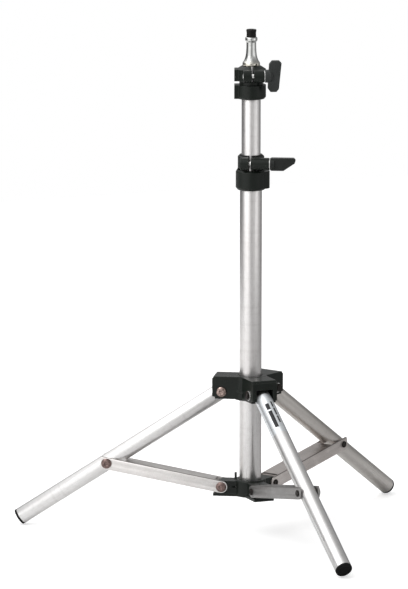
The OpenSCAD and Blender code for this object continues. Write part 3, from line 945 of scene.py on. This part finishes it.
def leg_patch(name, patch, radius, thickness):
    """A thin patch wrapped on the front leg, in cells of about 2 mm by 3 degrees."""
    leg = LEGS["front"]
    upper_side = leg.down.cross(leg.across)
    if upper_side.z < 0:
        upper_side = -upper_side
    s0, s1, a0, a1 = patch
    rows, columns = int((s1 - s0) / 2), int((a1 - a0) / 3)
    bm = bmesh.new()

    def point(i, k, r):
        s = s0 + (s1 - s0) * i / rows
        a = math.radians(a0 + (a1 - a0) * k / columns)
        spoke = upper_side * math.cos(a) + leg.across * math.sin(a)
        return bm.verts.new(leg.pivot + leg.down * (s * MM) + spoke * (r * MM))

    under, over = [[[point(i, k, r) for k in range(columns + 1)] for i in range(rows + 1)]
                   for r in (radius, radius + thickness)]
    for grid, step in ((under, -1), (over, 1)):
        for i in range(rows):
            for k in range(columns):
                cell = (grid[i][k], grid[i + 1][k], grid[i + 1][k + 1], grid[i][k + 1])
                bm.faces.new(cell[::step])
    for i in range(rows):
        for k, p, q in ((0, i, i + 1), (columns, i + 1, i)):
            bm.faces.new((under[p][k], under[q][k], over[q][k], over[p][k]))
    for k in range(columns):
        for i, p, q in ((0, k + 1, k), (rows, k, k + 1)):
            bm.faces.new((under[i][p], under[i][q], over[i][q], over[i][p]))
    bmesh.ops.recalc_face_normals(bm, faces=bm.faces)
    obj = add_object(mesh_from(bm, name), name)
    smooth_by_angle(obj, 40)
    return obj


film = leg_patch("leg_front_film", FILM_PATCH, radius=11.02, thickness=0.05)
dress(film, MATERIAL["film"], "leg_front")
bars = [leg_patch("part", patch, radius=11.08, thickness=0.04) for patch in BAR_PATCHES]
dress(join_into("leg_front_printed_bars", bars), MATERIAL["ink"], "leg_front")

# ------------------------------------------------------------------ CAD nodes
# The CAD nodes carry finished materials too, chosen by their slot
SLOT_MATERIAL = {
    "satin_aluminium": "column", "brace_aluminium": "brace", "black_casting": "casting",
    "black_plastic": "black", "grey_plastic": "grey", "bright_steel": "plate",
    "rivet_steel": "rivet", "zinc_steel": "zinc"}
for name, node in NODES.items():
    for material_slot in node.material_slots:
        material_slot.material = MATERIAL[SLOT_MATERIAL[SLOT[name]]]

# ------------------------------------------------------------------ camera
VIEW = math.radians(-22.9)         # turn of the camera and studio about the column
CAMERA_DISTANCE = 8.002            # metres from the column axis
CAMERA_HEIGHT = 1.721              # metres
CAMERA_YAW = math.radians(-0.44)
CAMERA_PITCH = math.radians(-9.95)
CAMERA_ROLL = math.radians(0.07)
CAMERA_LENS = 377.211545
VIEW_TURN = Matrix.Rotation(VIEW, 3, "Z")
TO_CAMERA = VIEW_TURN @ Vector((0, -1, 0))
TO_RIGHT = VIEW_TURN @ Vector((1, 0, 0))   # the camera's right


def build_camera():
    forward = Vector((math.sin(CAMERA_YAW) * math.cos(CAMERA_PITCH),
                      math.cos(CAMERA_YAW) * math.cos(CAMERA_PITCH), math.sin(CAMERA_PITCH)))
    right = Vector((math.cos(CAMERA_YAW), -math.sin(CAMERA_YAW), 0))
    up = right.cross(forward)
    cos, sin = math.cos(CAMERA_ROLL), math.sin(CAMERA_ROLL)
    right, up = right * cos + up * sin, up * cos - right * sin
    axes = (VIEW_TURN @ right, VIEW_TURN @ up, -(VIEW_TURN @ forward))
    matrix = Matrix(axes).transposed().to_4x4()
    matrix.translation = VIEW_TURN @ Vector((0, -CAMERA_DISTANCE, CAMERA_HEIGHT))

    camera = bpy.data.cameras.new("camera")
    obj = add_object(camera, "camera")
    obj.matrix_world = matrix
    camera.sensor_fit = "AUTO"
    camera.sensor_width = 36.0
    camera.lens = CAMERA_LENS
    camera.clip_start = 0.05
    camera.clip_end = 100
    bpy.context.scene.camera = obj


# ------------------------------------------------------------------ floor, world, lights
FLOOR_HALF = 2.7       # metres
FLOOR_Z = -0.0006      # metres


def floor_material():
    """White floor; seen directly it glows evenly. Other rays see painted shade that darkens it
    to the right, and a faint painted glow that fades out to the right.
    """
    s = Material("floor_white")
    s.feed(s.surface.inputs["Roughness"], 0.7)
    seen = s.add("LightPath").outputs["Is Camera Ray"]
    across = s.add("VectorMath", operation="DOT_PRODUCT")
    s.feed(across.inputs[0], s.add("NewGeometry").outputs["Position"])
    s.feed(across.inputs[1], tuple(TO_RIGHT))
    rightness = s.remap(across.outputs["Value"], span=(-0.45, 0.45))
    # painted shade: rays other than the camera's see the floor darken to the right
    reflected_painted_shade = s.mix(rightness, under=(0.92,) * 3, over=(0.38,) * 3)
    s.feed(s.surface.inputs["Base Color"], s.mix(seen, under=(0.90,) * 3, over=reflected_painted_shade)
           if False else s.mix(seen, reflected_painted_shade, (0.90,) * 3))
    glow = s.add("Emission")
    s.feed(glow.inputs[0], (1, 1, 1, 1))
    direct = s.math("MULTIPLY", seen, 0.42)
    unseen = s.math("SUBTRACT", 1.0, seen)
    # painted light: a faint glow on the left, for rays other than the camera's
    painted_bounce_glow = s.math("MULTIPLY", unseen, s.remap(rightness, span=(0.0, 0.6), to=(0.06, 0.0)))
    s.feed(glow.inputs[1], s.math("ADD", direct, painted_bounce_glow))
    total = s.add("AddShader")
    s.feed(total.inputs[0], s.surface.outputs[0])
    s.feed(total.inputs[1], glow.outputs[0])
    s.feed(s.output.inputs[0], total.outputs[0])
    return s.material


def build_floor():
    mesh = bpy.data.meshes.new("floor")
    corners = [(x * FLOOR_HALF, y * FLOOR_HALF, FLOOR_Z)
               for x, y in ((-1, -1), (1, -1), (1, 1), (-1, 1))]
    mesh.from_pydata(corners, [], [(0, 1, 2, 3)])
    floor = add_object(mesh, "floor")
    mesh.materials.append(floor_material())


# Soft panels and dark gaps near the horizon:
# (degrees from the camera's direction, positive to its right; brightness)
STUDIO_BAND = [
    (-180, 0.20), (-130, 0.10), (-112, 0.08), (-84, 0.22), (-66, 1.04), (-24, 1.12),
    (-14, 0.72), (-6, 0.36), (10, 0.26), (19, 0.54), (38, 0.54), (52, 0.46), (84, 0.52),
    (112, 0.30), (130, 0.14), (180, 0.22)]
# Overhead: (position from the camera's left to its right, brightness)
STUDIO_SKY = [(0.0, 0.82), (0.25, 0.98), (0.50, 0.80), (0.68, 0.34), (1.0, 0.24)]


def build_world():
    """White to the camera; every other ray sees the studio of panels."""
    world = bpy.data.worlds.new("studio")
    bpy.context.scene.world = world
    world.use_nodes = True
    s = Nodes(world.node_tree)
    output = s.add("OutputWorld")
    studio = s.add("Background")
    backdrop = s.add("Background")
    s.feed(backdrop.inputs["Color"], (1, 1, 1, 1))
    s.feed(backdrop.inputs["Strength"], 1.0)
    choice = s.add("MixShader")
    s.feed(choice.inputs[0], s.add("LightPath").outputs["Is Camera Ray"])
    s.feed(choice.inputs[1], studio.outputs[0])
    s.feed(choice.inputs[2], backdrop.outputs[0])
    s.feed(output.inputs[0], choice.outputs[0])

    turned = s.add("Mapping")
    s.feed(turned.inputs["Rotation"], (0, 0, -VIEW))
    s.feed(turned.inputs["Vector"], s.add("TexCoord").outputs["Generated"])
    direction = s.add("SeparateXYZ")
    s.feed(direction.inputs[0], turned.outputs[0])
    x, y, z = direction.outputs
    azimuth = s.math("ARCTAN2", x, s.math("MULTIPLY", y, -1.0))
    around = s.remap(azimuth, span=(-math.pi, math.pi))
    band = s.grey_ramp(around, [(0.5 + degrees / 360.0, grey) for degrees, grey in STUDIO_BAND])
    rise = s.remap(z, span=(0.16, 0.55))
    sky = s.grey_ramp(s.remap(x, span=(-1.0, 1.0)), STUDIO_SKY)
    s.feed(studio.inputs["Color"], s.mix(rise, band, sky))
    s.feed(studio.inputs["Strength"], 1.20)


def area_light(name, azimuth, elevation, distance, size, power):
    """Panel aimed at the stand; degrees from the camera's direction, metres and watts."""
    light = bpy.data.lights.new(name, "AREA")
    light.shape = "RECTANGLE"
    light.size, light.size_y = size
    light.energy = power
    obj = add_object(light, name)
    azimuth, elevation = math.radians(azimuth), math.radians(elevation)
    level = TO_CAMERA * math.cos(azimuth) + TO_RIGHT * math.sin(azimuth)
    direction = level * math.cos(elevation) + UP * math.sin(elevation)
    obj.location = Vector((0, 0, 0.3)) + direction * distance
    obj.rotation_euler = (-direction).to_track_quat("-Z", "Y").to_euler()


build_camera()
build_floor()
build_world()
area_light("key_left", azimuth=-48, elevation=42, distance=2.4, size=(1.5, 1.8), power=15)
area_light("fill_right", azimuth=60, elevation=9, distance=2.6, size=(1.5, 1.1), power=3.2)
area_light("top", azimuth=-115, elevation=66, distance=2.2, size=(1.8, 1.8), power=9)

bpy.context.scene.view_settings.view_transform = "Standard"
bpy.context.scene.view_settings.look = "None"
